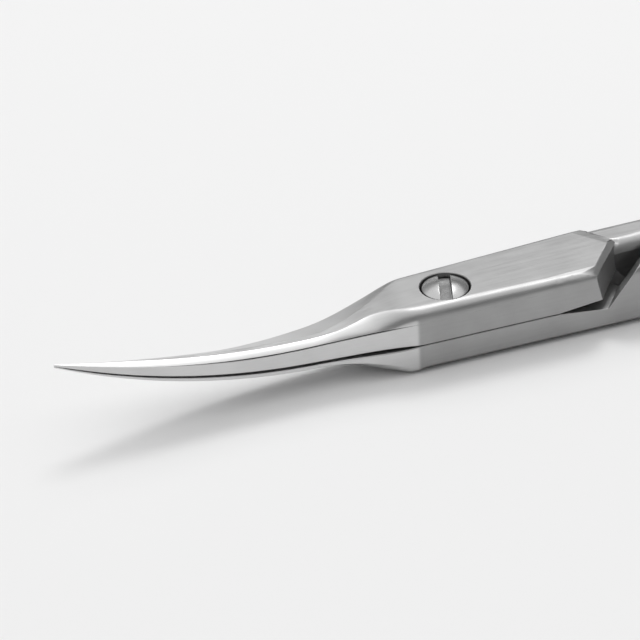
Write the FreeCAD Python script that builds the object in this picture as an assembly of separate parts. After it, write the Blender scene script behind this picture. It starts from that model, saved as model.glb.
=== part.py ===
"""Curved cuticle scissors: two forged steel halves on a slotted pivot screw.

Frame: millimetres, +Z up along the pivot screw. The origin is where the pivot axis meets the plane that the
closed scissors lie on. The blades point along -X and the finger rings along +X. The upper half carries the
screw head; its blade has its spine at -Y and its ring at +Y. The lower half is turned over about the X axis.
"""
import FreeCAD
import Part

import math
import os

from FreeCAD import Vector

# Joint block
SEAM_Z = 2.285              # height of the plane where the two laps meet
BLOCK_TOP_Z = 5.02          # top of the upper lap
LAP_CLEARANCE = 0.05        # gap between the two lap faces
BLOCK_HALF_WIDTH = 2.59     # at the pivot axis
BLOCK_FLARE = 0.035         # growth of the half width per mm towards the rings
BLOCK_FRONT = 3.0           # from the pivot axis to the blade root
BLOCK_REAR = 10.2           # from the pivot axis to the rear corner of the lap, on its outer face
BLOCK_PEAK = 12.7           # from the pivot axis to the lap's slanted rear edge, at the middle plane
EDGE_ROUND = 0.35           # rounding of the block's long outer edge on the cutting side
SIDE_ROUND = 0.8            # width of the rounding of its long outer edge on the spine side, behind the screw
SIDE_DROP = 0.42            # height of that rounding, which grows from here to the blade
SIDE_SPAN = 7.0             # from the pivot axis to where it starts to grow
CREASE_PEAK = 13.8          # from the pivot axis to the crease between lap and shank, at the middle plane
CREASE_SIDE = 11.6          # the same, at the block's side
BEVEL_WIDTH = 0.8           # sloping band along the crease
BEVEL_DEPTH = 0.13
REAR_LEAN = 0.57            # how much further back the lap's end reaches at the seam
END_ROUND = 0.12            # softening of the lap's rear edges
RELIEF_START = 7.4          # from the pivot axis to where the lap faces start to part
RELIEF_DEPTH = 0.4          # how far each lap face falls away at the lap's end

# Shoulder where each shank comes up to full thickness beside the other lap
SHOULDER_GAP = 0.74         # from the lap's end to the foot of the shoulder, along X
SHOULDER_ANGLE = 58.5       # slope of the shoulder, degrees
UNDERCUT = 0.5              # room ground into the upper shank's inner side for the lower half's shoulder
UNDERCUT_TOP = 3.95         # height of the lip above it
UNDERCUT_SPAN = (13.0, 17.0)

# Blade
BLADE_LENGTH = 25.75        # from the blade root to the tip, along X
BLADE_WAIST = 1.62          # half width behind the tip's taper
TIP_POWER = 3.1             # how late the blade tapers
TIP_CUT = 0.99              # share of the blade's length where the point is blunted
ROOT_SPAN = 0.3             # share of the blade over which the spine's side narrows to the waist
FAR_ROOT_SPAN = 0.27        # the same for the cutting edge's side, which leaves the block smoothly
BEND_START = 7.0            # from the pivot axis to where the blade starts to curve up
BEND_RADIUS = 59.0          # radius of that curve
HOLLOW = 0.085              # how far each inner face is ground back, at its deepest
SPINE_SHARE = 0.655         # height of the spine at the root, as a share of the lap's
SPINE_TIP = 0.10            # height of the spine at the tip
SPINE_LATE = 0.32           # share of the spine's fall that comes in the last part of the blade
SPINE_LATE_POWER = 5
FACET_WIDTH = 0.55          # spine's facet behind the tip's taper
FACET_SHARE = 0.62          # its most, as a share of the half width
FACET_RISE = 0.30           # how much higher the ridge is than the spine
FACET_RISE_SPAN = 0.3       # share of the blade over which the ridge comes down from the block's top
FACET_FLARE = 0.5           # how much wider the facet gets between block and waist
FACET_FLARE_SPAN = 0.22
FACET_CROWN = 0.3           # roundness of the facet behind the root
RIDGE_BLEND = 0.16          # share of the blade over which the block's rounding flattens into the facet
STRIP_EDGE = 0.5            # from the middle to the far side of the strip along the ridge, behind the root
STRIP_ROOT = 2.635          # how much further the strip reaches at the root, where it is the block's top
STRIP_SPAN = (0.31, 2)      # share of the blade's length and power of its run-out
STRIP_LEAST = 0.12
STRIP_DROP = 0.07           # fall of the strip towards the cutting edge, per mm of its width
EDGE_THICKNESS = 0.32       # cutting edge, above its inner face
EDGE_TIP = 0.07
UPPER_SCOOP = (0.55, 1.6)   # share of the blade's length and power of the scoop down to the upper cutting edge
LOWER_SCOOP = (0.25, 2.0)   # the same for the lower blade

# Shanks and rings
HANDLE_START = 9.5          # from the pivot axis to the shank's front end, inside the block
SHANK_TOP_Z = 5.01          # top of the shanks at their front end
RING_TOP_Z = 4.1            # top of the rings
SLOPE_END = 36.0            # where the shanks' tops come down to the rings' level
SHANK_INNER = 0.15          # from the middle plane to a shank's inner side, at the joint
SHANK_WAIST = 1.15          # the same, where the shanks stand furthest apart
SHANK_WIDTH = 2.35          # at the waist, where the outer side is in line with the block's
SHANK_WAIST_X = 26.0
SHANK_STRAIGHT = 13.5       # where a shank's inner side starts to lean out
SHANK_BEND = 40.0           # radius where the shanks' sides change direction
STOP_BEND = 20.0            # the same at the stops
STOP_X = 43.0               # where the two shanks meet when closed
STOP_LENGTH = 4.0
STOP_GAP = 0.06             # from the middle plane to each stop
RING_X = 54.6               # ring's centre
RING_LENGTH = 26.8          # outer size along X
RING_WIDTH = 22.8           # outer size along Y
RING_BAR = 2.6              # width of the ring's bar
RING_INNER = 0.55           # from the middle plane to the ring's nearest point
CROTCH_ROUND = 5.0          # between shank and ring
HANDLE_ROUND = 0.85         # rounding of the shanks' and rings' upper edges
HANDLE_CHAMFER = 0.55       # bevel of their lower edges

# Pivot screw
SCREW_BODY_R = 1.30         # plain neck that the upper half turns on
SCREW_THREAD_R = 1.15       # threaded end, held by the lower half
SCREW_HEAD_R = 1.66
HEAD_DOME = 0.45            # height of the dome above the head's rim
HEAD_SIDE = 1.12            # height of the head's side
SLOT_WIDTH = 0.85
SLOT_DEPTH = 0.72
SLOT_ANGLE = 71.0           # direction of the slot, degrees from +X
COUNTERBORE_R = 1.80
COUNTERBORE_DEPTH = 1.26
RUNNING_CLEARANCE = 0.02    # round the neck and the thread
HEAD_CLEARANCE = 0.02       # under the head
SCREW_END_CHAMFER = 0.12     # the screw's end is ground flush with the lower half's outer face

BIG = 200.0                 # reach of cutting tools
INSET = 0.003               # keeps joined faces from lying in one plane
CURVE_PULL = 0.62           # how far the rounded edges' curves reach towards their corners

UPPER, LOWER = 1, -1
LAP_HEIGHT = {UPPER: BLOCK_TOP_Z - SEAM_Z, LOWER: SEAM_Z}
SPINE_ROUND = {side: lap * (1 - SPINE_SHARE) for side, lap in LAP_HEIGHT.items()}   # at the blade root
SCOOP = {UPPER: UPPER_SCOOP, LOWER: LOWER_SCOOP}


def place(side, x, y, height):
    """A point of one half: height counts from the curved seam to the half's own outer side."""
    bend = max(0.0, -BEND_START - x)
    rise = BEND_RADIUS - math.sqrt(BEND_RADIUS ** 2 - bend ** 2)
    return Vector(x, side * y, SEAM_Z + rise + side * height)


def fade(share, span, power):
    """1 at the blade root, 0 at span and beyond."""
    return max(0.0, 1 - share / span) ** power


def ease(share, span):
    """0 at the blade root, 1 at span and beyond, level at both ends."""
    t = min(1.0, share / span)
    return t * t * (3 - 2 * t)


def block_half_width(x):
    return BLOCK_HALF_WIDTH + BLOCK_FLARE * x


def edge_curve(side, x, start, corner, end, roundness):
    """From start to end: a quarter round about the corner at roundness 1, a straight line at 0."""
    pull = tuple((a + b) / 2 * (1 - roundness) + c * roundness for a, b, c in zip(start, end, corner))
    points = [
        start,
        tuple(a + CURVE_PULL * (c - a) for a, c in zip(start, pull)),
        tuple(b + CURVE_PULL * (c - b) for b, c in zip(end, pull)),
        end,
    ]
    curve = Part.BezierCurve()
    curve.setPoles([place(side, x, y, h) for y, h in points])
    return curve.toShape()


def blade_section(side, share, x):
    """Closed outline across one blade: spine wall, spine facet, ridge, scoop, cutting edge and inner face."""
    lap = LAP_HEIGHT[side]
    taper = 1 - share ** TIP_POWER
    root_half = block_half_width(-BLOCK_FRONT)
    near = BLADE_WAIST * taper + (root_half - BLADE_WAIST) * fade(share, ROOT_SPAN, 2)
    far = BLADE_WAIST * taper + (root_half - BLADE_WAIST) * (1 - ease(share, FAR_ROOT_SPAN))
    hollow = LAP_CLEARANCE / 2 + HOLLOW * math.sin(math.pi * math.sqrt(share))
    roundness = fade(share, RIDGE_BLEND, 1)

    fall = (1 - SPINE_LATE) * share + SPINE_LATE * share ** SPINE_LATE_POWER
    spine = SPINE_TIP + (SPINE_SHARE * lap - SPINE_TIP) * (1 - fall)
    root_rise = SPINE_ROUND[side] - FACET_RISE
    ridge_height = spine + FACET_RISE * (1 - share ** 4)
    ridge_height += root_rise * (1 - ease(share, FACET_RISE_SPAN))
    t = min(1.0, share / FACET_FLARE_SPAN)
    facet = FACET_WIDTH + (SPINE_ROUND[side] - FACET_WIDTH) * roundness + FACET_FLARE * (4 * t * (1 - t)) ** 2
    ridge = -near + min(facet, FACET_SHARE * near)
    strip_end = max(STRIP_ROOT * fade(share, *STRIP_SPAN) - STRIP_EDGE * taper, ridge + STRIP_LEAST * taper)
    drop = STRIP_DROP * (strip_end - ridge) * (1 - roundness)
    edge = EDGE_TIP + EDGE_THICKNESS * taper
    edge += (lap - EDGE_ROUND - EDGE_TIP - EDGE_THICKNESS) * fade(share, *SCOOP[side])

    spine_foot, spine_top = (-near, hollow), (-near, spine)
    ridge_near, ridge_far = (ridge, ridge_height), (strip_end, ridge_height - drop)
    edge_top, edge_foot = (far, edge), (far, hollow)

    def line(a, b):
        return Part.makeLine(place(side, x, *a), place(side, x, *b))

    return Part.Wire([
        line(spine_foot, spine_top),
        edge_curve(side, x, spine_top, (-near, ridge_height), ridge_near, max(roundness, FACET_CROWN)),
        line(ridge_near, ridge_far),
        edge_curve(side, x, ridge_far, (far, ridge_height), edge_top, roundness),
        line(edge_top, edge_foot),
        line(edge_foot, spine_foot),
    ])


def make_blade(side):
    """The blade, lofted from the joint block's front end to the blunted point."""
    shares = [0.0, 0.02, 0.05, 0.1, 0.15, 0.21, 0.28, 0.36, 0.45, 0.55, 0.65, 0.75, 0.84, 0.91, 0.96, TIP_CUT]
    sections = [blade_section(side, s, -BLOCK_FRONT - s * BLADE_LENGTH) for s in shares]
    return Part.makeLoft(sections, True, False)


def prism(points, push):
    """A closed outline of straight lines, pushed along a vector."""
    return Part.Face(Part.makePolygon(points + points[:1])).extrude(push)


def half_space(point, normal):
    """A large block on the side of a plane that the normal points to."""
    block = Part.makeBox(BIG, BIG, BIG, Vector(-BIG / 2, -BIG / 2, 0))
    block.Placement = FreeCAD.Placement(point, FreeCAD.Rotation(Vector(0, 0, 1), normal))
    return block


def turn(side, shape):
    """Moves a shape laid out with its lap face on Z = 0 and its outer side up to its place in the scissors."""
    placed = shape.copy()
    if side == LOWER:
        placed.rotate(Vector(0, 0, 0), Vector(1, 0, 0), 180)
    placed.translate(Vector(0, 0, SEAM_Z))
    return placed


def across_rear():
    """Unit vector square to the lap's rear edge in plan, pointing away from the lap."""
    along = Vector(BLOCK_PEAK - BLOCK_REAR, block_half_width(BLOCK_REAR), 0)
    along.normalize()
    return Vector(along.y, -along.x, 0)


def make_lap(side):
    """One half of the joint block, laid out with its lap face on Z = 0 and its outer side up."""
    lap = LAP_HEIGHT[side]
    foot = LAP_CLEARANCE / 2
    spots = [-BLOCK_FRONT, -1.0, 1.5, 4.0, SIDE_SPAN, CREASE_PEAK + REAR_LEAN]
    block = Part.makeLoft([lap_section(side, x) for x in spots], True, True).removeSplitter()
    block.translate(Vector(0, 0, -SEAM_Z))
    crease = crease_point(CREASE_SIDE) - crease_point(CREASE_PEAK)
    block = block.cut(half_space(crease_point(CREASE_SIDE), Vector(crease.y, -crease.x, 0)))
    out = across_rear()
    lean = Vector(out.x, out.y, REAR_LEAN * out.x / lap)
    block = block.cut(half_space(Vector(BLOCK_REAR, -block_half_width(BLOCK_REAR), lap), lean))
    return block.makeFillet(END_ROUND, rear_edges(block, lean, foot))


def lap_section(side, x):
    """Closed outline across the joint block's half, with its outer side up."""
    lap, half, foot = LAP_HEIGHT[side], block_half_width(x), LAP_CLEARANCE / 2
    behind = min(1.0, (x + BLOCK_FRONT) / (SIDE_SPAN + BLOCK_FRONT)) ** 2
    drop = SPINE_ROUND[side] + (SIDE_DROP - SPINE_ROUND[side]) * behind
    width = SPINE_ROUND[side] + (SIDE_ROUND - SPINE_ROUND[side]) * behind
    spine_foot, spine_top, ridge = (-half, foot), (-half, lap - drop), (-half + width, lap)
    strip_end, edge_top, edge_foot = (half - EDGE_ROUND, lap), (half, lap - EDGE_ROUND), (half, foot)

    def line(a, b):
        return Part.makeLine(place(UPPER, x, *a), place(UPPER, x, *b))

    return Part.Wire([
        line(spine_foot, spine_top),
        edge_curve(UPPER, x, spine_top, (-half, lap), ridge, 1),
        line(ridge, strip_end),
        edge_curve(UPPER, x, strip_end, (half, lap), edge_top, 1),
        line(edge_top, edge_foot),
        line(edge_foot, spine_foot),
    ])


def rear_edges(block, lean, foot):
    """The edges of the lap's leaning end, but for those on the lap face and inside the shank."""
    end = max(block.Faces, key=lambda f: f.normalAt(0, 0).dot(lean) / lean.Length)
    edges = [e for e in end.Edges if not is_level(e, foot) and not is_crease(e)]
    return edges


def crease_point(x):
    """The point at x of the straight line in plan where the lap meets its shank."""
    return Vector(x, block_half_width(CREASE_SIDE) * (CREASE_PEAK - x) / (CREASE_PEAK - CREASE_SIDE), 0)


def make_bevel(side):
    """Tool for the sloping band between the lap's outer face and the shank."""
    lap = LAP_HEIGHT[side]
    start, end = crease_point(BLOCK_PEAK + REAR_LEAN), crease_point(CREASE_SIDE - BEVEL_WIDTH)
    along = (end - start).normalize()
    across = Vector(along.y, -along.x, 0) * -BEVEL_WIDTH
    top, foot = Vector(0, 0, lap + BEVEL_DEPTH), Vector(0, 0, lap - BEVEL_DEPTH)
    level = Vector(0, 0, lap)
    return prism([start + foot, start + top, start + across + top, start + across + level], end - start)


def is_level(edge, z):
    return all(abs(v.Z - z) < 1e-6 for v in edge.Vertexes)


def is_crease(edge):
    """An edge that lies on the line where the lap meets its shank."""
    return all(abs(v.Y - crease_point(v.X).y) < 1e-6 for v in edge.Vertexes)


def make_relief(side):
    """Two tools for one half: the room for the other lap, and the wedge that parts the lap faces at the rear."""
    foot = LAP_CLEARANCE / 2
    out = across_rear()
    reach = math.tan(math.radians(SHOULDER_ANGLE))
    toe = Vector(BLOCK_REAR + REAR_LEAN + SHOULDER_GAP, block_half_width(BLOCK_REAR), 0)
    ahead = half_space(toe, Vector(-out.x * reach, out.y * reach, -1))
    notch = ahead.common(half_space(Vector(0, 0, foot), Vector(0, 0, -1)))
    end = CREASE_PEAK + REAR_LEAN
    drop = RELIEF_DEPTH * (end - RELIEF_START) / (BLOCK_REAR + REAR_LEAN - RELIEF_START)
    wedge = prism([
        Vector(RELIEF_START, -BIG / 4, foot),
        Vector(end, -BIG / 4, foot),
        Vector(end, -BIG / 4, foot + drop),
    ], Vector(0, BIG / 2, 0))
    return notch, ahead.common(wedge)


def rounded_path(points):
    """Lines through (x, y, radius) points, with an arc of that radius at each inner point."""
    edges = []
    spots = [Vector(x, y, 0) for x, y, radius in points]
    last = spots[0]
    for i in range(1, len(spots) - 1):
        corner, radius = spots[i], points[i][2]
        back, ahead = (spots[i - 1] - corner).normalize(), (spots[i + 1] - corner).normalize()
        half_angle = back.getAngle(ahead) / 2
        tangent = radius / math.tan(half_angle)
        middle = (back + ahead).normalize() * (radius / math.sin(half_angle) - radius)
        edges.append(Part.makeLine(last, corner + back * tangent))
        last = corner + ahead * tangent
        edges.append(Part.Arc(corner + back * tangent, corner + middle, last).toShape())
    edges.append(Part.makeLine(last, spots[-1]))
    return edges


def arc(centre, radius, start, end):
    """Arc from start to end degrees, counter-clockwise seen from +Z."""
    circle = Part.Circle(centre, Vector(0, 0, 1), radius)
    return Part.Arc(circle, math.radians(start), math.radians(end)).toShape()


def ring_arcs():
    """A ring's outline as a four-centre oval: the centres of its near, rear, far and front arcs, the outer radii
    of its sides and of its ends, and the angle from X at which they meet."""
    y = RING_INNER + RING_WIDTH / 2
    long, wide = RING_LENGTH / 2, RING_WIDTH / 2
    diagonal = math.hypot(long, wide)
    end_radius = diagonal * (diagonal - long + wide) / (2 * long)
    side_radius = diagonal * (diagonal + long - wide) / (2 * wide)
    centres = [
        Vector(RING_X, y + side_radius - wide, 0),
        Vector(RING_X + long - end_radius, y, 0),
        Vector(RING_X, y - side_radius + wide, 0),
        Vector(RING_X - long + end_radius, y, 0),
    ]
    return centres, side_radius, end_radius, math.degrees(math.atan2(long, wide))


def handle_outline():
    """Outline of a shank and its ring in plan."""
    (near, rear, far, front), side_radius, end_radius, meeting = ring_arcs()
    stop_end = Vector(STOP_X + STOP_LENGTH, STOP_GAP, 0)
    to_near = near - stop_end
    grazing = math.atan2(to_near.y, to_near.x) - math.asin(side_radius / to_near.Length)
    touch = math.degrees(grazing) - 90
    touch_point = near + Vector(math.sin(grazing), -math.cos(grazing), 0) * side_radius
    outer_y = SHANK_WAIST + SHANK_WIDTH
    crotch_y = outer_y + CROTCH_ROUND
    apart = math.sqrt((end_radius + CROTCH_ROUND) ** 2 - (front.y - crotch_y) ** 2)
    crotch = Vector(front.x - apart, crotch_y, 0)
    meet = math.degrees(math.atan2(front.y - crotch_y, apart))
    start_y = block_half_width(HANDLE_START) - INSET
    inner_side = rounded_path([
        (HANDLE_START, SHANK_INNER, 0),
        (SHANK_STRAIGHT, SHANK_INNER, SHANK_BEND),
        (SHANK_WAIST_X, SHANK_WAIST, SHANK_BEND),
        (STOP_X, STOP_GAP, STOP_BEND),
        (stop_end.x, stop_end.y, STOP_BEND),
        (touch_point.x, touch_point.y, 0),
    ])
    ring = [
        arc(near, side_radius, touch, -meeting),
        arc(rear, end_radius, -meeting, meeting),
        arc(far, side_radius, meeting, 180 - meeting),
        arc(front, end_radius, 180 - meeting, 180 + meet),
        arc(crotch, CROTCH_ROUND, -90, meet),
    ]
    outer_side = rounded_path([
        (crotch.x, outer_y, 0),
        (SHANK_WAIST_X, outer_y, SHANK_BEND),
        (HANDLE_START, start_y, 0),
    ])
    front_end = Part.makeLine(Vector(HANDLE_START, start_y, 0), Vector(HANDLE_START, SHANK_INNER, 0))
    return Part.Wire(Part.__sortEdges__(inner_side + ring + outer_side + [front_end]))


def finger_hole_outline():
    (near, rear, far, front), side_radius, end_radius, meeting = ring_arcs()
    side_radius, end_radius = side_radius - RING_BAR, end_radius - RING_BAR
    return Part.Wire(Part.__sortEdges__([
        arc(near, side_radius, meeting - 180, -meeting),
        arc(rear, end_radius, -meeting, meeting),
        arc(far, side_radius, meeting, 180 - meeting),
        arc(front, end_radius, 180 - meeting, 180 + meeting),
    ]))


def make_handle(side, room):
    """Shank and ring in one piece, without the room that the other lap takes."""
    body = Part.Face(handle_outline()).extrude(Vector(0, 0, SHANK_TOP_Z))
    fall = (SHANK_TOP_Z - RING_TOP_Z) / (SLOPE_END - HANDLE_START)
    above_slope = half_space(Vector(SLOPE_END, 0, RING_TOP_Z), Vector(fall, 0, 1))
    body = body.cut(above_slope.common(half_space(Vector(0, 0, RING_TOP_Z), Vector(0, 0, 1))))
    body = body.makeChamfer(HANDLE_CHAMFER, rims(body, 0.0, 0.0))
    body = body.makeFillet(HANDLE_ROUND, rims(body, RING_TOP_Z, SHANK_TOP_Z))
    hole = finger_hole_outline()
    radii = [e.Curve.Radius for e in hole.Edges]
    drill = Part.Face(hole).extrude(Vector(0, 0, SHANK_TOP_Z))
    body = body.cut(drill)
    body = body.makeChamfer(HANDLE_CHAMFER, [e for e in body.Edges if is_hole_rim(e, radii)])
    return swap_sides(side, body.cut(swap_sides(side, room)))


def swap_sides(side, shape):
    """Mirrors the lower half's shape about the middle plane, so that both handles are laid out at +Y."""
    return shape.mirror(Vector(0, 0, 0), Vector(0, 1, 0)) if side == LOWER else shape


def rims(body, low, high):
    """The outer edges of the body's faces that lie between two heights, but not those inside the joint block."""
    flats = [f for f in body.Faces if f.BoundBox.ZMin > low - 1e-3 and f.BoundBox.ZMax < high + 1e-3]
    edges = [e for f in flats for e in f.Edges]
    single = [e for e in edges if sum(e.isSame(other) for other in edges) == 1]
    return [e for e in single if e.BoundBox.XMax > HANDLE_START + 0.1]


def is_hole_rim(edge, radii):
    """An edge of the finger hole's top or bottom."""
    if edge.Degenerated or not isinstance(edge.Curve, Part.Circle):
        return False
    inside = RING_X - RING_LENGTH / 2 + RING_BAR / 2 < edge.BoundBox.XMin
    return inside and any(abs(edge.Curve.Radius - r) < 1e-6 for r in radii)


def make_half(side):
    """One half in one piece: blade, lap, shank and ring."""
    notch, wedge = (turn(side, tool) for tool in make_relief(side))
    handle = make_handle(side, notch)
    half = handle.fuse([turn(side, make_lap(side)), make_blade(side)]).removeSplitter()
    half = half.cut([wedge, turn(side, make_bevel(side))])
    up = Vector(0, 0, 1)
    if side == UPPER:
        bore = Part.makeCylinder(SCREW_BODY_R + RUNNING_CLEARANCE, BIG, Vector(0, 0, 0), up)
        sink = Part.makeCylinder(COUNTERBORE_R, BIG, Vector(0, 0, BLOCK_TOP_Z - COUNTERBORE_DEPTH), up)
        start, end = UNDERCUT_SPAN
        room = Part.makeBox(end - start, 2 * UNDERCUT, UNDERCUT_TOP, Vector(start, SHANK_INNER - UNDERCUT, 0))
        return half.cut([bore.fuse(sink), room])
    return half.cut(Part.makeCylinder(SCREW_THREAD_R + RUNNING_CLEARANCE, BIG, Vector(0, 0, -BIG / 2), up))


def make_screw():
    """Slotted screw: domed head, plain neck in the upper half and threaded end in the lower half."""
    seat = BLOCK_TOP_Z - COUNTERBORE_DEPTH + HEAD_CLEARANCE
    rim, crown = seat + HEAD_SIDE, seat + HEAD_SIDE + HEAD_DOME
    step = SEAM_Z
    end = 0.0
    dome_radius = (SCREW_HEAD_R ** 2 + HEAD_DOME ** 2) / (2 * HEAD_DOME)
    middle = SCREW_HEAD_R / 2
    dome_middle = crown - dome_radius + math.sqrt(dome_radius ** 2 - middle ** 2)
    corners = [
        Vector(SCREW_HEAD_R, 0, rim),
        Vector(SCREW_HEAD_R, 0, seat),
        Vector(SCREW_BODY_R, 0, seat),
        Vector(SCREW_BODY_R, 0, step),
        Vector(SCREW_THREAD_R, 0, step),
        Vector(SCREW_THREAD_R, 0, end + SCREW_END_CHAMFER),
        Vector(SCREW_THREAD_R - SCREW_END_CHAMFER, 0, end),
        Vector(0, 0, end),
        Vector(0, 0, crown),
    ]
    dome = Part.Arc(corners[-1], Vector(middle, 0, dome_middle), corners[0]).toShape()
    sides = [Part.makeLine(a, b) for a, b in zip(corners, corners[1:])]
    screw = Part.Face(Part.Wire(sides + [dome])).revolve(Vector(0, 0, 0), Vector(0, 0, 1), 360)
    slot = Part.makeBox(BIG, SLOT_WIDTH, BIG, Vector(-BIG / 2, -SLOT_WIDTH / 2, crown - SLOT_DEPTH))
    slot.rotate(Vector(0, 0, 0), Vector(0, 0, 1), SLOT_ANGLE)
    return screw.cut(slot)


def main():
    os.makedirs("parts", exist_ok=True)
    shapes = {
        "upper_half": make_half(UPPER),
        "lower_half": make_half(LOWER),
        "pivot_screw": make_screw(),
    }
    for name, shape in shapes.items():
        solid = shape.Solids[0]
        print(name, shape.isValid(), len(shape.Solids), round(shape.Volume, 1), shape.BoundBox)
        solid.exportStep(f"parts/{name}.step")


main()
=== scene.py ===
"""Curved cuticle scissors lying closed on a pale table, seen from above the tip's near side.

The two halves keep the solids' shanks and rings, with softened edges. Their blades and most of the joint
block are drawn again as fine meshes from the same sections, so that the ground faces shine evenly. Lengths
are in millimetres about the pivot axis on the resting plane, with +X towards the rings, until they become
vertices.
"""
import math

import bmesh
import bpy
from mathutils import Matrix, Vector


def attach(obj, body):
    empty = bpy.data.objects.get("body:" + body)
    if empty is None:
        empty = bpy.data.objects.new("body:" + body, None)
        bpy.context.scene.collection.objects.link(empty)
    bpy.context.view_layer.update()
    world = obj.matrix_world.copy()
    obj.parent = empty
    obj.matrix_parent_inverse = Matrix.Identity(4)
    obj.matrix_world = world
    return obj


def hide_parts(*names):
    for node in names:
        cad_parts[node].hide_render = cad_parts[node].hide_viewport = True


MM = 0.001

# Camera
CAMERA_AT = (-81.56, -201.27, 143.25)
CAMERA_RIGHT = (0.9307, -0.3633, -0.0427)
CAMERA_UP = (0.2312, 0.4938, 0.8383)
CAMERA_BACK = (-0.2834, -0.7901, 0.5436)
SENSOR = 36.0
LENS = 208.06
CLIP = (0.01, 20.0)         # metres

# Joint block
SEAM_Z = 2.285              # plane where the two laps meet
BLOCK_TOP_Z = 5.02
LAP_CLEARANCE = 0.05
BLOCK_FRONT = 3.0           # from the pivot axis to the blade root
BLOCK_HALF_WIDTH = 2.59     # at the pivot axis
BLOCK_FLARE = 0.035         # growth of the half width per mm towards the rings
EDGE_ROUND = 0.35           # rounding of the block's long edge on the cutting side
SIDE_ROUND = 0.8            # width and height of the rounding on the spine side, behind the screw
SOLID_DROP = 0.42
WORN_DROP = 0.72            # its height where the upper half's edge is worn rounder
SIDE_SPAN = 7.0             # from the pivot axis to where that rounding starts to grow towards the blade
FINE_END = 7.2              # from the pivot axis to where the fine mesh meets the solid's own
FINE_STATIONS = 24          # sections along the block
SHOULDER_SOFT = 0.55        # from the blade root to where its shoulder's rounding ends, each way
SHOULDER_STATIONS = 16      # more sections there
SHOULDER_STEPS = 9          # sections that each of them is averaged from
SNAP = 0.0005               # points closer than this are one
SEAM_STEP = 0.012           # least distance between points where they meet
WELD = 0.005                # joins the solid's faces at their shared edges
SLIVER = 0.015              # narrower faces keep their edges as they are
BLOCK_REAR = 10.2           # from the pivot axis to the rear corner of the upper lap, on its outer face
BLOCK_PEAK = 12.7           # from the pivot axis to that lap's slanted rear edge, at the middle plane
REAR_LEAN = 0.57            # how much further back the lap's end reaches at the seam
REAR_BEVEL = 0.35           # of that end's upper edge
SHANK_BEVEL = 0.55          # of the shanks' lower edges
BEVEL_END = 12.1            # X to which the lower lap's rounded edge is turned into that bevel
FLAT_ANGLE = 0.01           # neighbouring facets within this angle are one face, radians
SHARP_ANGLE = 0.6           # edges sharper than this are softened, radians
SOFT_EDGE = 0.06            # width of a softened edge
SOFT_SEGMENTS = 3
SPLIT_MOST = 0.99           # how far along an edge a new point may lie, as a share of it
SHADE_ANGLE = 0.7           # edges sharper than this are shaded sharp, radians

# Blade
BLADE_LENGTH = 25.75
BLADE_WAIST = 1.62
TIP_POWER = 3.1
TIP_CUT = 0.99
ROOT_SPAN = 0.3
FAR_ROOT_SPAN = 0.27
BEND_START = 7.0
BEND_RADIUS = 59.0
HOLLOW = 0.085
SPINE_SHARE = 0.655         # height of the spine wall at the root, as a share of the lap's
SPINE_TIP = 0.10
SPINE_LATE = 0.32           # share of the spine's fall that is left for the last part of the blade
SPINE_LATE_POWER = 5
FACET_WIDTH = 0.55          # spine facet behind the tip's taper
FACET_SHARE = 0.62          # its most, as a share of the half width
FACET_RISE = 0.30           # how much higher the ridge is than the spine
FACET_RISE_SPAN = 0.3
FACET_FLARE = 0.5           # how much wider the facet gets between the block and the waist
FACET_FLARE_SPAN = 0.22
FACET_CROWN = 0.3           # roundness of the facet behind the root
RIDGE_BLEND = 0.16          # share of the blade over which the block's rounding flattens into the facet
STRIP_EDGE = 0.5            # from the middle to the far side of the ridge's strip, behind the root
STRIP_ROOT = 2.635          # how much further it reaches at the root
STRIP_SPAN = (0.31, 2)
STRIP_LEAST = 0.12
STRIP_DROP = 0.07           # fall of the strip towards the cutting edge
EDGE_THICKNESS = 0.32
EDGE_TIP = 0.07
GROOVE = 0.1                # width of the fine line along the spine's upper edge
GROOVE_DEEP = 2.2           # its depth, in widths
GROOVE_LEAST = 0.004
GROOVE_START = 0.1          # share of the blade where the line reaches its depth
GROOVE_FADE = (0.45, 0.75)  # shares where it starts to run out and ends
UPPER_SCOOP = (0.55, 1.6)
LOWER_SCOOP = (0.25, 2.0)
CURVE_PULL = 0.62           # how far the rounded edges' curves reach towards their corners
STATIONS = 140              # sections along a blade
RUN_STEPS = (8, 4, 4, 4, 16, 8, 26, 4, 14)    # points along each run of a section
CORNER_STEPS = 4            # points round each softened corner
CORNER_SOFT = 0.035         # distance from a corner to where its softening starts
FOOT_SOFT = 0.09            # the same beside the inner faces, where the halves' seam shows as a fine line

# Pivot screw
SCREW_BODY_R = 1.30
SCREW_THREAD_R = 1.15
SCREW_HEAD_R = 1.66
HEAD_DOME = 0.45
HEAD_SIDE = 1.12
SLOT_WIDTH = 0.85
SLOT_DEPTH = 0.72
SLOT_ANGLE = 71.0
COUNTERBORE_R = 1.80
COUNTERBORE_DEPTH = 1.26
RIM_BEVEL = 0.05
RUNNING_CLEARANCE = 0.02
HEAD_CLEARANCE = 0.02
SCREW_END_CHAMFER = 0.12
SCREW_STEPS = 96
DOME_STEPS = 14
SCREW_SOFT_EDGE = 0.05

UPPER, LOWER = 1, -1
LAP_HEIGHT = {UPPER: BLOCK_TOP_Z - SEAM_Z, LOWER: SEAM_Z}
SIDE_DROP = {UPPER: WORN_DROP, LOWER: SOLID_DROP}
# rounding of the block's edge at the blade root
SPINE_ROUND = {side: lap * (1 - SPINE_SHARE) for side, lap in LAP_HEIGHT.items()}
SCOOP = {UPPER: UPPER_SCOOP, LOWER: LOWER_SCOOP}

FLOOR_GAP = 0.02            # keeps the table's surface out of the resting faces

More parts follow.
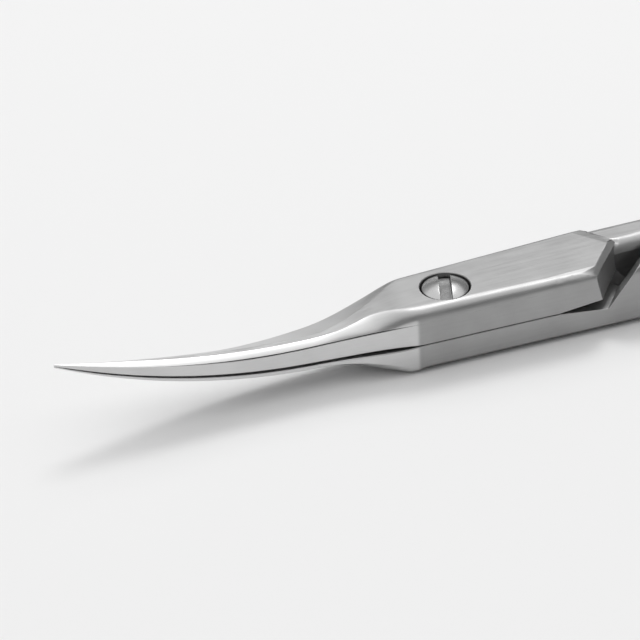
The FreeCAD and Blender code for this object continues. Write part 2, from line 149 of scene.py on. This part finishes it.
# Light, in metres
WORLD_LIGHT = 0.32
KEY_FROM = (0.264, 0.442, 0.857)    # direction from the part to the key lamp
KEY_DISTANCE = 0.9
KEY_SIZE = 0.26
KEY_BRIGHTNESS = 9.5
TENT_OVER = (0.05, 0.15)    # X and Y of the middle of the lamp above the table
TENT_HEIGHT = 0.6
TENT_SIZE = 1.2
TENT_BRIGHTNESS = 0.98
BACKDROP_DISTANCE = 0.9
BACKDROP_WIDTH = 3.0
BACKDROP_HEIGHT = 0.28
FLOOR_SIZE = 3.0
PAPER = (0.83, 0.83, 0.83, 1)
PAPER_ROUGHNESS = 0.9

# Steel: the first of two values is the blade's, the second is the block's, shank's and ring's
HALF_GREY = (0.63, 0.37)
HALF_ROUGHNESS = (0.40, 0.44)
SCREW_GREY = 0.43
SCREW_ROUGHNESS = 0.27
WALL_CHANGE = (-3.3, -2.8)          # X where the finish changes on the walls
TOP_CHANGE = (-10.0, -2.5)          # and on the upper faces
TOP_SLOPE = (0.2, 0.45)             # upward part of the normal where upper faces start and are full
GRAIN_ALONG = (250.0, 6000.0, 6000.0)
GRAIN_ROUND = (900.0, 900.0, 900.0)
HALF_GRAIN = 0.15
SCREW_GRAIN = 0.05
GRAIN_HEIGHT = 0.004
CLOUD_SCALE = (300.0, 300.0, 300.0)
CLOUD_DETAIL = 3.0
CLOUD_DEPTH = 0.02
LINE_DETAIL = 4.0
LINE_DEPTH = 0.015
NOISE_SPAN = (0.3, 0.7)             # noise values where the variation is least and most
ROUGH_DEPTH = 0.05
# lighter edges in the steel's grey: partly wear, partly a painted highlight
EDGE_WEAR_AND_HIGHLIGHT_WIDTH = 0.12
EDGE_WEAR_AND_HIGHLIGHT_SAMPLES = 4
EDGE_WEAR_AND_HIGHLIGHT_SPAN = (0.90, 0.99)            # evenness of the surface where the lighter edge, partly wear and partly a painted highlight, is full and where it ends
EDGE_WEAR_AND_HIGHLIGHT_LIFT = 0.12
SHADE_REACH = 1.2                  # how far a recess' walls darken each other with painted shade
SHADE_SAMPLES = 8
SHADE_OPEN = (0.2, 0.6)            # openness of the surface where the painted shade is full and where it ends
PAINTED_SHADE_DEPTH = 0.35


def fade(share, span, power):
    """1 at the blade root, 0 at span and beyond."""
    return max(0.0, 1 - share / span) ** power


def straight(start, end):
    return lambda t: tuple(a + (b - a) * t for a, b in zip(start, end))


def ease(share, start, end):
    """0 up to start, 1 from end on, smooth between."""
    t = min(1.0, max(0.0, (share - start) / (end - start)))
    return t * t * (3 - 2 * t)


def rounded(start, corner, end, roundness):
    """From start to end: a quarter round about the corner at roundness 1, a straight line at 0."""
    pull = tuple((a + b) / 2 * (1 - roundness) + c * roundness for a, b, c in zip(start, end, corner))
    first = tuple(a + CURVE_PULL * (c - a) for a, c in zip(start, pull))
    second = tuple(b + CURVE_PULL * (c - b) for b, c in zip(end, pull))

    def point(t):
        weights = (1 - t) ** 3, 3 * t * (1 - t) ** 2, 3 * t * t * (1 - t), t ** 3
        return tuple(sum(w * p[i] for w, p in zip(weights, (start, first, second, end))) for i in (0, 1))
    return point


def blade_runs(side, share):
    """The runs round a blade's section."""
    lap = LAP_HEIGHT[side]
    taper = 1 - share ** TIP_POWER
    flare = BLOCK_HALF_WIDTH - BLOCK_FLARE * BLOCK_FRONT - BLADE_WAIST
    near = BLADE_WAIST * taper + flare * fade(share, ROOT_SPAN, 2)
    far = BLADE_WAIST * taper + flare * (1 - ease(share, 0, FAR_ROOT_SPAN))
    foot = LAP_CLEARANCE / 2 + HOLLOW * math.sin(math.pi * math.sqrt(share))
    fall = (1 - SPINE_LATE) * share + SPINE_LATE * share ** SPINE_LATE_POWER
    spine = SPINE_TIP + (SPINE_SHARE * lap - SPINE_TIP) * (1 - fall)
    t = min(1.0, share / FACET_FLARE_SPAN)
    roundness = fade(share, RIDGE_BLEND, 1)
    facet = FACET_WIDTH + (SPINE_ROUND[side] - FACET_WIDTH) * roundness
    facet = min(facet + FACET_FLARE * (4 * t * (1 - t)) ** 2, FACET_SHARE * near)
    top = spine + FACET_RISE * (1 - share ** 4)
    top += (SPINE_ROUND[side] - FACET_RISE) * (1 - ease(share, 0, FACET_RISE_SPAN))
    ridge = -near + facet
    strip_end = STRIP_ROOT * fade(share, *STRIP_SPAN) - STRIP_EDGE * taper
    strip_end = max(strip_end, ridge + STRIP_LEAST * taper + GROOVE_LEAST)
    drop = STRIP_DROP * (strip_end - ridge) * (1 - roundness)
    edge = EDGE_TIP + EDGE_THICKNESS * taper
    edge += (lap - EDGE_ROUND - EDGE_TIP - EDGE_THICKNESS) * fade(share, *SCOOP[side])
    groove = GROOVE * min(1.0, share / GROOVE_START) * (1 - ease(share, *GROOVE_FADE)) + GROOVE_LEAST
    ends = (ridge, top), (strip_end, top - drop)
    crowns = max(roundness, FACET_CROWN), roundness
    return runs_round((-near, far), foot, (spine, edge), groove, ends, crowns)


def block_runs(side, x):
    """The runs round a section of the joint block's half."""
    lap, half = LAP_HEIGHT[side], BLOCK_HALF_WIDTH + BLOCK_FLARE * x
    behind = min(1.0, (x + BLOCK_FRONT) / (SIDE_SPAN + BLOCK_FRONT)) ** 2
    drop = SPINE_ROUND[side] + (SIDE_DROP[side] - SPINE_ROUND[side]) * behind
    width = SPINE_ROUND[side] + (SIDE_ROUND - SPINE_ROUND[side]) * behind
    edge, roundness = (EDGE_ROUND, 1) if side == UPPER else (SHANK_BEVEL, 0)
    ends = (-half + width, lap), (half - edge, lap)
    tops = (lap - drop, lap - edge)
    return runs_round((-half, half), LAP_CLEARANCE / 2, tops, GROOVE_LEAST, ends, (1, roundness))


def runs_round(sides, foot, tops, groove, ridge, roundness):
    """Spine wall, fine groove, spine facet, ridge, scoop, cutting edge and inner face of a section."""
    (near, far), (spine, edge), (ridge_near, ridge_far) = sides, tops, ridge
    spine_foot, spine_top = (near, foot), (near, spine - groove)
    groove_foot, groove_top = (near + GROOVE_DEEP * groove, spine - groove / 2), (near + groove / 4, spine)
    facet_foot = (near + groove / 4, spine + GROOVE_LEAST)
    edge_top, edge_foot = (far, edge), (far, foot)
    return [
        straight(spine_foot, spine_top),
        straight(spine_top, groove_foot),
        straight(groove_foot, groove_top),
        straight(groove_top, facet_foot),
        rounded(facet_foot, (near, ridge_near[1]), ridge_near, roundness[0]),
        straight(ridge_near, ridge_far),
        rounded(ridge_far, (far, ridge_near[1]), edge_top, roundness[1]),
        straight(edge_top, edge_foot),
        straight(edge_foot, spine_foot),
    ]


def section_points(runs):
    """Points round a section, with its corners softened."""
    lengths = [math.dist(run(0), run(1)) for run in runs]
    widths = [CORNER_SOFT] * (len(runs) - 2) + [FOOT_SOFT] * 2
    softs = [min(w, a / 4, b / 4) for w, a, b in zip(widths, lengths, lengths[1:] + lengths[:1])]
    points = []
    for i, run in enumerate(runs):
        first, last = softs[i - 1] / lengths[i], 1 - softs[i] / lengths[i]
        steps = RUN_STEPS[i]
        points += [run(first + (last - first) * k / (steps - 1)) for k in range(steps)]
        after = (i + 1) % len(runs)
        start, corner, end = points[-1], run(1), runs[after](softs[i] / lengths[after])
        for k in range(1, CORNER_STEPS + 1):
            t = k / (CORNER_STEPS + 1)
            weights = (1 - t) ** 2, 2 * t * (1 - t), t * t
            points.append(tuple(sum(w * p[j] for w, p in zip(weights, (start, corner, end))) for j in (0, 1)))
    return points


def place(side, x, y, height):
    """A point of one half: height counts from the curved seam to the half's own outer side."""
    bend = max(0.0, -BEND_START - x)
    rise = BEND_RADIUS - math.sqrt(BEND_RADIUS ** 2 - bend ** 2)
    return Vector((x, side * y, SEAM_Z + rise + side * height)) * MM


def section_at(side, x):
    """Points round the section at one place along a half."""
    ahead = -BLOCK_FRONT - x
    return section_points(blade_runs(side, ahead / BLADE_LENGTH) if ahead > 0 else block_runs(side, x))


def soft_section(side, x):
    """The section, averaged over its neighbours beside the blade root so that the shoulder is round."""
    if abs(x + BLOCK_FRONT) > 2 * SHOULDER_SOFT:
        return section_at(side, x)
    offsets = [SHOULDER_SOFT * (2 * k / (SHOULDER_STEPS - 1) - 1) for k in range(SHOULDER_STEPS)]
    near = [section_at(side, x + offset) for offset in offsets]
    return [tuple(sum(p[i] for p in points) / len(points) for i in (0, 1)) for points in zip(*near)]


def fine_mesh(side):
    """Blade and joint block of one half as a closed fine mesh."""
    bm = bmesh.new()
    length = FINE_END + BLOCK_FRONT
    spots = [FINE_END - length * i / FINE_STATIONS for i in range(FINE_STATIONS)]
    spots += [-BLOCK_FRONT + 2 * SHOULDER_SOFT * i / SHOULDER_STATIONS for i in range(1, SHOULDER_STATIONS)]
    shares = [TIP_CUT * (0.5 - 0.5 * math.cos(math.pi * i / STATIONS)) for i in range(STATIONS + 1)]
    spots += [-BLOCK_FRONT - s * BLADE_LENGTH for s in shares]
    sections = [(x, soft_section(side, x)) for x in sorted(spots, reverse=True)]
    rings = [[bm.verts.new(place(side, x, *p)) for p in points] for x, points in sections]
    for ring, after in zip(rings, rings[1:]):
        for i in range(len(ring)):
            j = (i + 1) % len(ring)
            bm.faces.new((ring[i], ring[j], after[j], after[i]))
    bm.faces.new(rings[0])
    bm.faces.new(rings[-1])
    bmesh.ops.recalc_face_normals(bm, faces=bm.faces)
    return to_mesh(bm, "fine")


def turned(profile, steps):
    """A closed mesh turned about the pivot axis from (radius, height) points."""
    bm = bmesh.new()
    angles = [2 * math.pi * i / steps for i in range(steps)]
    around = [(math.cos(a), math.sin(a)) for a in angles]
    rings = [[bm.verts.new(Vector((r * c, r * s, z)) * MM) for c, s in around] for r, z in profile]
    for ring, after in zip(rings, rings[1:]):
        for i in range(steps):
            j = (i + 1) % steps
            bm.faces.new((ring[i], ring[j], after[j], after[i]))
    bm.faces.new(rings[0])
    bm.faces.new(rings[-1])
    bmesh.ops.recalc_face_normals(bm, faces=bm.faces)
    return to_mesh(bm, "turned")


def bore_mesh(side):
    """What the screw's hole takes out of one half, with a small bevel at its outer rim."""
    if side == UPPER:
        bore, rim, outside = SCREW_BODY_R + RUNNING_CLEARANCE, COUNTERBORE_R, BLOCK_TOP_Z
        seat = BLOCK_TOP_Z - COUNTERBORE_DEPTH
        profile = [(bore, 0.0), (bore, seat), (rim, seat)]
    else:
        rim, outside = SCREW_THREAD_R + RUNNING_CLEARANCE, 0.0
        profile = [(rim, BLOCK_TOP_Z)]
    profile.append((rim, outside - side * RIM_BEVEL))
    profile.append((rim + 2 * RIM_BEVEL, outside + side * RIM_BEVEL))
    return turned(profile, SCREW_STEPS)


def to_mesh(bm, name):
    mesh = bpy.data.meshes.new(name)
    bm.to_mesh(mesh)
    bm.free()
    return mesh


def mean_width(face):
    return face.calc_area() / max(e.calc_length() for e in face.edges)


def soften(bm, width, least_angle, edges=None):
    """Gives the sharp edges a small round."""
    sharp = [e for e in edges or bm.edges if e.is_manifold and e.calc_face_angle() > least_angle]
    sharp = [e for e in sharp if min(mean_width(f) for f in e.link_faces) > SLIVER * MM]
    bmesh.ops.bevel(bm, geom=sharp, offset=width * MM, segments=SOFT_SEGMENTS, profile=0.5,
                    affect="EDGES", clamp_overlap=False)


def run_into_bevel(bm):
    """Turns the lower lap's rounded edge into the shank's bevel, so that no step is left where they meet."""
    for vert in bm.verts:
        x, y, z = vert.co / MM
        inset = BLOCK_HALF_WIDTH + BLOCK_FLARE * x + y
        if x < BEVEL_END and -SLIVER < inset and 0 < inset + z < SHANK_BEVEL:
            grow = SHANK_BEVEL / (inset + z) - 1
            vert.co += Vector((0, inset, z)) * grow * MM


def wear_side(bm):
    """Stretches the rounding of the upper lap's long edge downwards."""
    for vert in bm.verts:
        x, y, z = vert.co / MM
        inset, below = BLOCK_HALF_WIDTH + BLOCK_FLARE * x + y, BLOCK_TOP_Z - z
        if -SLIVER < inset < SIDE_ROUND + SLIVER and 0 < below < SOLID_DROP + SLIVER:
            vert.co.z -= below * (WORN_DROP / SOLID_DROP - 1) * MM


def bevel_rear(bm):
    """Widens the softening of the upper lap's leaning rear edge to a bevel."""
    half = BLOCK_HALF_WIDTH + BLOCK_FLARE * BLOCK_REAR
    out = Vector((half, BLOCK_REAR - BLOCK_PEAK, 0)).normalized()
    lean = Vector((out.x, out.y, REAR_LEAN * out.x / LAP_HEIGHT[UPPER])).normalized()
    corner = Vector((BLOCK_REAR, -half, BLOCK_TOP_Z))
    for vert in behind_seam(bm.verts):
        point = vert.co / MM
        ahead, below = (corner - point).dot(lean), BLOCK_TOP_Z - point.z
        if min(ahead, below) > -SLIVER and 0 < ahead + below < REAR_BEVEL:
            grow = REAR_BEVEL / (ahead + below) - 1
            down = below * grow
            forward = (ahead * grow - down * lean.z) / out.dot(lean)
            vert.co -= (out * forward + Vector((0, 0, down))) * MM


def shank_mesh(node, seam, side):
    """The solid behind the fine mesh, open at that end, with the seam's points on its rim."""
    bm = bmesh.new()
    bm.from_mesh(node.data)
    bmesh.ops.remove_doubles(bm, verts=bm.verts, dist=WELD * MM)
    everything = bm.verts[:] + bm.edges[:] + bm.faces[:]
    bmesh.ops.bisect_plane(bm, geom=everything, plane_co=(FINE_END * MM, 0, 0), plane_no=(1, 0, 0),
                           clear_inner=True)
    if side == LOWER:
        run_into_bevel(bm)
    else:
        wear_side(bm)
        bevel_rear(bm)
    for point in seam:
        rim = [e for e in bm.edges if e.is_boundary]
        edge = min(rim, key=lambda e: distance_to(e, point))
        ends = sorted(edge.verts, key=lambda v: (v.co - point).length)
        if (ends[0].co - point).length > SNAP * MM:
            share = (ends[0].co - point).length / edge.calc_length()
            added = bmesh.utils.edge_split(edge, ends[0], min(SPLIT_MOST, share))[1]
            added.co = point
        else:
            ends[0].co = point
    for vert in [v for v in bm.verts if v.is_boundary]:
        vert.co = min(seam, key=lambda point: (vert.co - point).length)
    return to_mesh(bm, "shank")


def distance_to(edge, point):
    """From a point to an edge."""
    a, b = (v.co for v in edge.verts)
    along = b - a
    t = min(1.0, max(0.0, (point - a).dot(along) / along.length_squared))
    return (a + along * t - point).length


def half_mesh(node, side):
    """One half in one closed mesh, with softened edges."""
    bm = bmesh.new()
    bm.from_mesh(combined(fine_mesh(side), bore_mesh(side), "DIFFERENCE"))
    end = (FINE_END - SNAP) * MM
    bmesh.ops.delete(bm, geom=[f for f in bm.faces if min(v.co.x for v in f.verts) > end], context="FACES")
    bmesh.ops.remove_doubles(bm, verts=[v for v in bm.verts if v.is_boundary], dist=SEAM_STEP * MM)
    seam = [v.co.copy() for v in bm.verts if v.is_boundary]
    bm.from_mesh(shank_mesh(node, seam, side))
    bmesh.ops.remove_doubles(bm, verts=bm.verts, dist=SNAP * MM)
    verts, edges = behind_seam(bm.verts), behind_seam(bm.edges)
    bmesh.ops.dissolve_limit(bm, angle_limit=FLAT_ANGLE, verts=verts, edges=edges)
    soften(bm, SOFT_EDGE, SHARP_ANGLE, behind_seam(bm.edges))
    bmesh.ops.recalc_face_normals(bm, faces=bm.faces)
    return to_mesh(bm, "half")


def behind_seam(items):
    """The vertices or edges that are the solid's own."""
    end = (FINE_END + SNAP) * MM
    return [i for i in items if min(v.co.x for v in getattr(i, "verts", [i])) > end]


def new_object(name, mesh):
    piece = bpy.data.objects.new(name, mesh)
    bpy.context.scene.collection.objects.link(piece)
    return piece


def combined(first, second, operation):
    """The mesh of two closed meshes joined or cut."""
    body, tool = new_object("body", first), new_object("tool", second)
    modifier = body.modifiers.new("combine", "BOOLEAN")
    modifier.operation = operation
    modifier.object = tool
    modifier.solver = "EXACT"
    depsgraph = bpy.context.evaluated_depsgraph_get()
    mesh = bpy.data.meshes.new_from_object(body.evaluated_get(depsgraph))
    bpy.data.objects.remove(body)
    bpy.data.objects.remove(tool)
    return mesh


def shade_smooth(mesh):
    """Smooth shading, except across sharp edges."""
    bm = bmesh.new()
    bm.from_mesh(mesh)
    for face in bm.faces:
        face.smooth = True
    for edge in bm.edges:
        edge.smooth = edge.calc_face_angle(0.0) < SHADE_ANGLE
    bm.to_mesh(mesh)
    bm.free()


def finish_piece(name, mesh, material, node):
    """A piece in place of a solid: smooth shading that keeps flat faces flat."""
    mesh.materials.clear()
    mesh.materials.append(material)
    shade_smooth(mesh)
    piece = new_object(name, mesh)
    normals = piece.modifiers.new("even_normals", "WEIGHTED_NORMAL")
    normals.keep_sharp = True
    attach(piece, node)
    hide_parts(node)
    return piece


def screw_mesh():
    """Slotted screw: domed head, plain neck and threaded end, turned from a profile."""
    seat = BLOCK_TOP_Z - COUNTERBORE_DEPTH + HEAD_CLEARANCE
    rim, crown = seat + HEAD_SIDE, seat + HEAD_SIDE + HEAD_DOME
    dome_radius = (SCREW_HEAD_R ** 2 + HEAD_DOME ** 2) / (2 * HEAD_DOME)
    profile = [
        (SCREW_THREAD_R - SCREW_END_CHAMFER, 0.0),
        (SCREW_THREAD_R, SCREW_END_CHAMFER),
        (SCREW_THREAD_R, SEAM_Z),
        (SCREW_BODY_R, SEAM_Z),
        (SCREW_BODY_R, seat),
        (SCREW_HEAD_R, seat),
        (SCREW_HEAD_R, rim),
    ]
    for k in range(1, DOME_STEPS):
        r = SCREW_HEAD_R * (1 - k / DOME_STEPS)
        profile.append((r, crown - dome_radius + math.sqrt(dome_radius ** 2 - r ** 2)))
    screw = turned(profile, SCREW_STEPS)
    bm = bmesh.new()
    size = Matrix.Diagonal((4 * SCREW_HEAD_R, SLOT_WIDTH, 2 * SLOT_DEPTH, 1))
    turn = Matrix.Rotation(math.radians(SLOT_ANGLE), 4, "Z")
    lift = Matrix.Scale(MM, 4) @ Matrix.Translation((0, 0, crown))
    bmesh.ops.create_cube(bm, size=1.0, matrix=lift @ turn @ size)
    slotted = combined(screw, to_mesh(bm, "slot"), "DIFFERENCE")
    bm = bmesh.new()
    bm.from_mesh(slotted)
    bmesh.ops.remove_doubles(bm, verts=bm.verts, dist=WELD * MM)
    soften(bm, SCREW_SOFT_EDGE, SHARP_ANGLE)
    return to_mesh(bm, "screw")


def add_node(tree, kind, **settings):
    node = tree.nodes.new(kind)
    for key, value in settings.items():
        setattr(node, key, value)
    return node


def ranged(tree, source, start, end, low, high):
    """A smooth step of a value: low up to start, high from end on."""
    step = add_node(tree, "ShaderNodeMapRange", interpolation_type="SMOOTHSTEP")
    for key, value in (("From Min", start), ("From Max", end), ("To Min", low), ("To Max", high)):
        step.inputs[key].default_value = value
    tree.links.new(source, step.inputs["Value"])
    return step.outputs["Result"]


def added(tree, first, second):
    total = add_node(tree, "ShaderNodeMath", operation="ADD")
    tree.links.new(first, total.inputs[0])
    tree.links.new(second, total.inputs[1])
    return total.outputs[0]


def noise(tree, place_on, scale, detail):
    """Noise over the piece's own coordinates, with its scale along X, Y and Z per metre."""
    stretch = add_node(tree, "ShaderNodeMapping")
    stretch.inputs["Scale"].default_value = scale
    tree.links.new(place_on, stretch.inputs["Vector"])
    texture = add_node(tree, "ShaderNodeTexNoise")
    texture.inputs["Scale"].default_value = 1.0
    texture.inputs["Detail"].default_value = detail
    tree.links.new(stretch.outputs["Vector"], texture.inputs["Vector"])
    return texture.outputs["Fac"]


def finish_zone(tree, along):
    """0 where the blade's finish is, 1 where the block's is: a crisp change on walls, a slow one on top."""
    slope = add_node(tree, "ShaderNodeSeparateXYZ")
    normal = add_node(tree, "ShaderNodeNewGeometry").outputs["Normal"]
    tree.links.new(normal, slope.inputs["Vector"])
    on_top = ranged(tree, slope.outputs["Z"], *TOP_SLOPE, 0.0, 1.0)
    zone = add_node(tree, "ShaderNodeMix")
    tree.links.new(on_top, zone.inputs["Factor"])
    tree.links.new(ranged(tree, along, *[x * MM for x in WALL_CHANGE], 0.0, 1.0), zone.inputs["A"])
    tree.links.new(ranged(tree, along, *[x * MM for x in TOP_CHANGE], 0.0, 1.0), zone.inputs["B"])
    return zone.outputs["Result"]


def edge_angle(tree):
    """1 on even faces, less where the surface turns sharply."""
    rounded_normal = add_node(tree, "ShaderNodeBevel", samples=EDGE_WEAR_AND_HIGHLIGHT_SAMPLES)
    rounded_normal.inputs["Radius"].default_value = EDGE_WEAR_AND_HIGHLIGHT_WIDTH * MM
    normal = add_node(tree, "ShaderNodeNewGeometry").outputs["Normal"]
    match = add_node(tree, "ShaderNodeVectorMath", operation="DOT_PRODUCT")
    tree.links.new(rounded_normal.outputs["Normal"], match.inputs[0])
    tree.links.new(normal, match.inputs[1])
    return match.outputs["Value"]


def openness_for_shade(tree):
    """1 on open faces, less in a recess of the same piece, where the steel's grey is darkened as painted
    shade.
    """
    open_sky = add_node(tree, "ShaderNodeAmbientOcclusion", samples=SHADE_SAMPLES, only_local=True)
    open_sky.inputs["Distance"].default_value = SHADE_REACH * MM
    return open_sky.outputs["AO"]


def varied(tree, zone, values, source, depth):
    """A value with some noise on it: one value, or the blade's and the block's where there is a zone."""
    if zone is None:
        return ranged(tree, source, *NOISE_SPAN, values - depth, values + depth)
    base = ranged(tree, zone, 0.0, 1.0, *values)
    return added(tree, base, ranged(tree, source, *NOISE_SPAN, -depth, depth))


def steel(name, greys, roughness, grain, strength):
    """Bare steel with fine grain, cloudiness, lighter edges that are partly wear and partly a painted
    highlight, and painted shade in its recesses. Pairs of values are the blade's finish and the block's."""
    material = bpy.data.materials.new(name)
    material.use_nodes = True
    tree = material.node_tree
    shader = tree.nodes["Principled BSDF"]
    shader.inputs["Metallic"].default_value = 1.0
    own = add_node(tree, "ShaderNodeTexCoord").outputs["Object"]
    axes = add_node(tree, "ShaderNodeSeparateXYZ")
    tree.links.new(own, axes.inputs["Vector"])
    clouds = noise(tree, own, CLOUD_SCALE, CLOUD_DETAIL)
    lines = noise(tree, own, grain, LINE_DETAIL)
    zone = finish_zone(tree, axes.outputs["X"]) if isinstance(greys, tuple) else None
    grey = varied(tree, zone, greys, clouds, CLOUD_DEPTH)
    grey = added(tree, grey, ranged(tree, lines, *NOISE_SPAN, -LINE_DEPTH, LINE_DEPTH))
    # lighter edges in the grey: partly wear, partly a painted highlight
    grey = added(tree, grey, ranged(tree, edge_angle(tree), *EDGE_WEAR_AND_HIGHLIGHT_SPAN, EDGE_WEAR_AND_HIGHLIGHT_LIFT, 0.0))
    # painted shade: the grey is darkened in recesses, where shade falls
    grey = added(tree, grey, ranged(tree, openness_for_shade(tree), *SHADE_OPEN, -PAINTED_SHADE_DEPTH, 0.0))
    colour = add_node(tree, "ShaderNodeCombineColor")
    for channel in ("Red", "Green", "Blue"):
        tree.links.new(grey, colour.inputs[channel])
    tree.links.new(colour.outputs["Color"], shader.inputs["Base Color"])
    rough = varied(tree, zone, roughness, lines, ROUGH_DEPTH)
    tree.links.new(rough, shader.inputs["Roughness"])
    bump = add_node(tree, "ShaderNodeBump")
    bump.inputs["Strength"].default_value = strength
    bump.inputs["Distance"].default_value = GRAIN_HEIGHT * MM
    tree.links.new(lines, bump.inputs["Height"])
    tree.links.new(bump.outputs["Normal"], shader.inputs["Normal"])
    return material


def add_camera():
    data = bpy.data.cameras.new("camera")
    data.sensor_fit = "HORIZONTAL"
    data.sensor_width = SENSOR
    data.lens = LENS
    data.clip_start, data.clip_end = CLIP
    camera = bpy.data.objects.new("camera", data)
    bpy.context.scene.collection.objects.link(camera)
    turn = Matrix((CAMERA_RIGHT, CAMERA_UP, CAMERA_BACK)).transposed().to_4x4()
    camera.matrix_world = Matrix.Translation(Vector(CAMERA_AT) * MM) @ turn
    bpy.context.scene.camera = camera


def add_softbox(name, at, target, width, depth, brightness):
    """A rectangular lamp in metres whose face is as bright as a white surface times brightness."""
    data = bpy.data.lights.new(name, "AREA")
    data.shape = "RECTANGLE"
    data.size = width
    data.size_y = depth
    data.energy = brightness * math.pi * width * depth
    lamp = bpy.data.objects.new(name, data)
    bpy.context.scene.collection.objects.link(lamp)
    lamp.location = at
    lamp.rotation_euler = (Vector(target) - Vector(at)).to_track_quat("-Z", "Y").to_euler()


def add_sheet(name, size):
    """A square of white paper for the stage."""
    bpy.ops.mesh.primitive_plane_add(size=size)
    sheet = bpy.context.object
    sheet.name = name
    material = bpy.data.materials.new(name + "_white")
    material.use_nodes = True
    shader = material.node_tree.nodes["Principled BSDF"]
    shader.inputs["Base Color"].default_value = PAPER
    shader.inputs["Roughness"].default_value = PAPER_ROUGHNESS
    sheet.data.materials.append(material)
    return sheet


def add_floor():
    floor = add_sheet("floor", FLOOR_SIZE)
    floor.location.z = -FLOOR_GAP * MM


def add_backdrop():
    """A low pale wall behind the table, which the steel's far faces mirror."""
    wall = add_sheet("backdrop", 1.0)
    wall.scale = (BACKDROP_WIDTH, BACKDROP_HEIGHT, 1)
    wall.rotation_euler = (math.pi / 2, 0, 0)
    wall.location = (0, BACKDROP_DISTANCE, BACKDROP_HEIGHT / 2)


def add_world():
    world = bpy.data.worlds.new("studio")
    bpy.context.scene.world = world
    world.use_nodes = True
    background = world.node_tree.nodes["Background"]
    background.inputs["Color"].default_value = (1, 1, 1, 1)
    background.inputs["Strength"].default_value = WORLD_LIGHT


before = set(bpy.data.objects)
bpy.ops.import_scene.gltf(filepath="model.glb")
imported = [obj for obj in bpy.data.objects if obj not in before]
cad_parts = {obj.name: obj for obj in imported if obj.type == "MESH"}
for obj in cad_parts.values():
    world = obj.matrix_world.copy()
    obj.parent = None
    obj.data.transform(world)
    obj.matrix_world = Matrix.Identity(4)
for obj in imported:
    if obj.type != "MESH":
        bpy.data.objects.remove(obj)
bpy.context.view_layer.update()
bpy.context.scene.view_settings.view_transform = "Standard"
add_camera()
add_floor()
add_backdrop()
add_world()
add_softbox("key", Vector(KEY_FROM) * KEY_DISTANCE, (0, 0, 0), KEY_SIZE, KEY_SIZE, KEY_BRIGHTNESS)
add_softbox("tent", (*TENT_OVER, TENT_HEIGHT), (*TENT_OVER, 0), TENT_SIZE, TENT_SIZE, TENT_BRIGHTNESS)

for name, slot, side in (("upper_half", "upper_steel", UPPER), ("lower_half", "lower_steel", LOWER)):
    finish = steel(name + "_steel", HALF_GREY, HALF_ROUGHNESS, GRAIN_ALONG, HALF_GRAIN)
    finish_piece(name + "_steel", half_mesh(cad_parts[name], side), finish, name)
finish = steel("pivot_screw_steel", SCREW_GREY, SCREW_ROUGHNESS, GRAIN_ROUND, SCREW_GRAIN)
finish_piece("pivot_screw_steel", screw_mesh(), finish, "pivot_screw")
